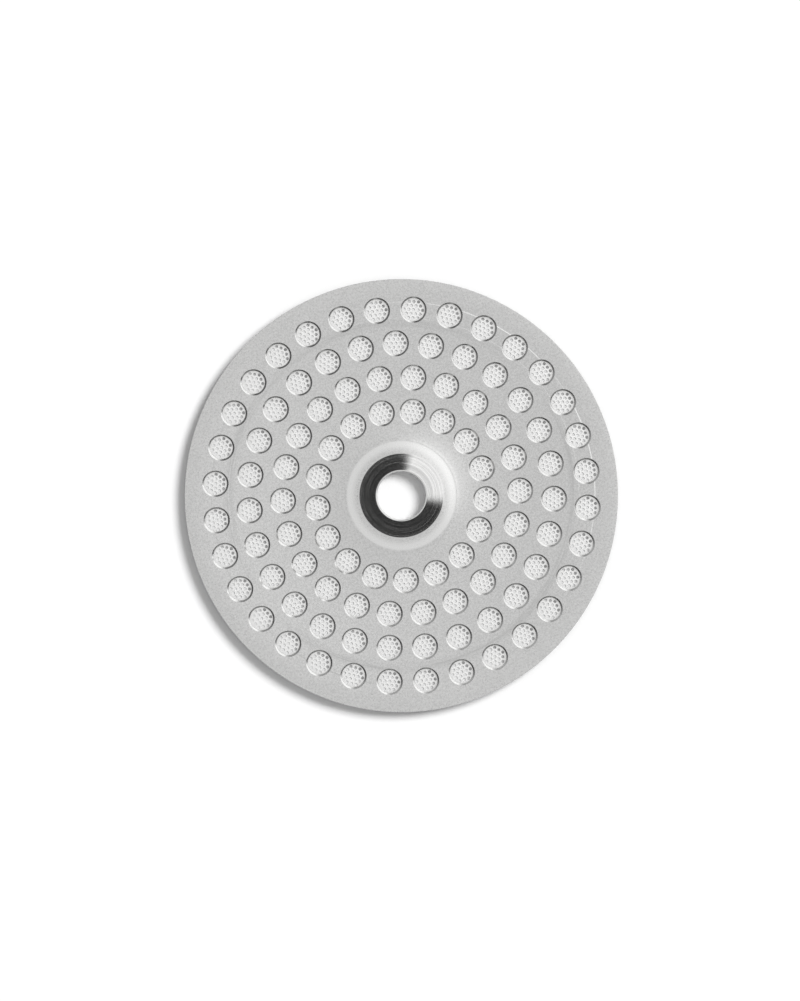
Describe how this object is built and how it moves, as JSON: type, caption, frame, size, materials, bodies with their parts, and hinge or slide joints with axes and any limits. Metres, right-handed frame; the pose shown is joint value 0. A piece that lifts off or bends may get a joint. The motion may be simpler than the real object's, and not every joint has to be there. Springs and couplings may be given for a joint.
{
  "type": "espresso shower screen",
  "caption": "Flat round stainless espresso shower screen with rings of shallow spray pockets and a raised conical collar round its central screw hole.",
  "frame": {"origin": "centre of the coffee face, on the screw hole's axis", "axes": "+Z along the screw hole, out of the group side; +X along the mirror line of the pocket rings"},
  "size_m": [0.0575, 0.0574, 0.0035],
  "materials": {
    "stainless": "fine satin face, brighter etched pocket floors, turned marks on the collar"
  },
  "bodies": {
    "root": {"shower_screen": "stainless"}
  },
  "joints": []
}
